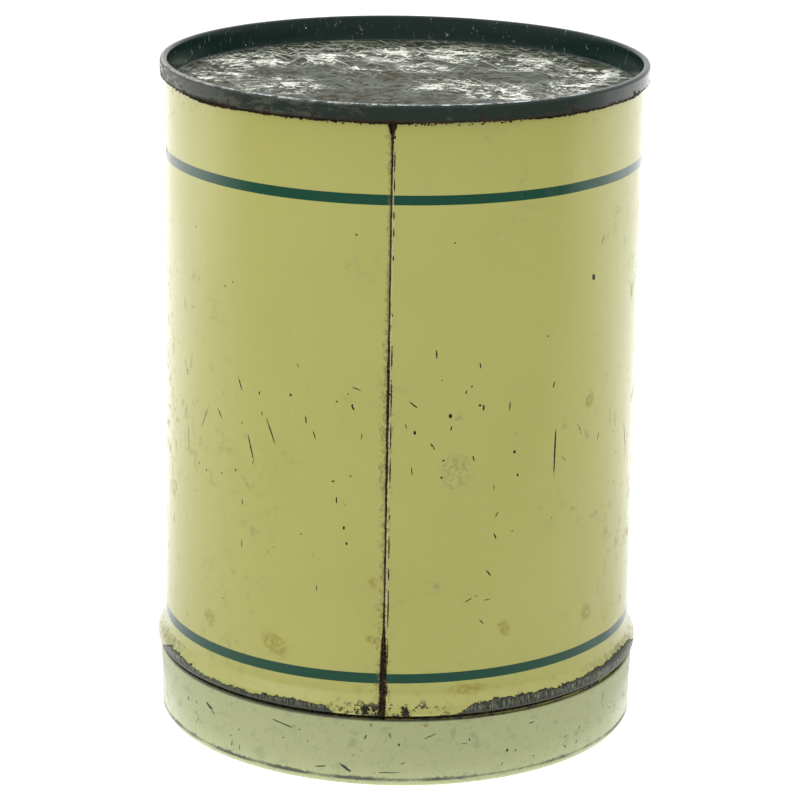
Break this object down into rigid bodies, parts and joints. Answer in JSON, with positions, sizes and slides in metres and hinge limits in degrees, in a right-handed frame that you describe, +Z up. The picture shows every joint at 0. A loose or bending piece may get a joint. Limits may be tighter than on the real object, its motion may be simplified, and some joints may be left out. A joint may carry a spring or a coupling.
{
  "type": "cookie tin",
  "caption": "Round painted tinplate canister with a countersunk, double-seamed base and a slip lid, stored upside down on its lid.",
  "frame": {"origin": "centre of the lid's outer panel, which lies on the surface that the tin stands on", "axes": "+Z up along the tin's axis, from the lid to the base, because the tin is stored upside down; -Y through the side seam, towards the viewer"},
  "size_m": [0.155, 0.155, 0.2136],
  "materials": {
    "body_enamel": "glossy worn enamel",
    "solder": "dull, rusty",
    "wire": "drawn",
    "base_lacquer": "worn dark lacquer",
    "lid_enamel": "satin worn enamel"
  },
  "bodies": {
    "lid": {"lid": "lid_enamel"},
    "mouth_ring": {"mouth_wire": "wire"},
    "tin": {"body_shell": "body_enamel", "side_seam_solder": "solder", "base_end": "base_lacquer"}
  },
  "joints": [
    {"name": "lid_pull", "type": "slide", "parent": "lid", "child": "mouth_ring", "axis": [0, 0, 1], "range_m": [0, 0.06]},
    {"name": "lid_turn", "type": "hinge", "parent": "mouth_ring", "child": "tin", "pos_m": [0, 0, 0], "axis": [0, 0, 1], "continuous": true}
  ]
}
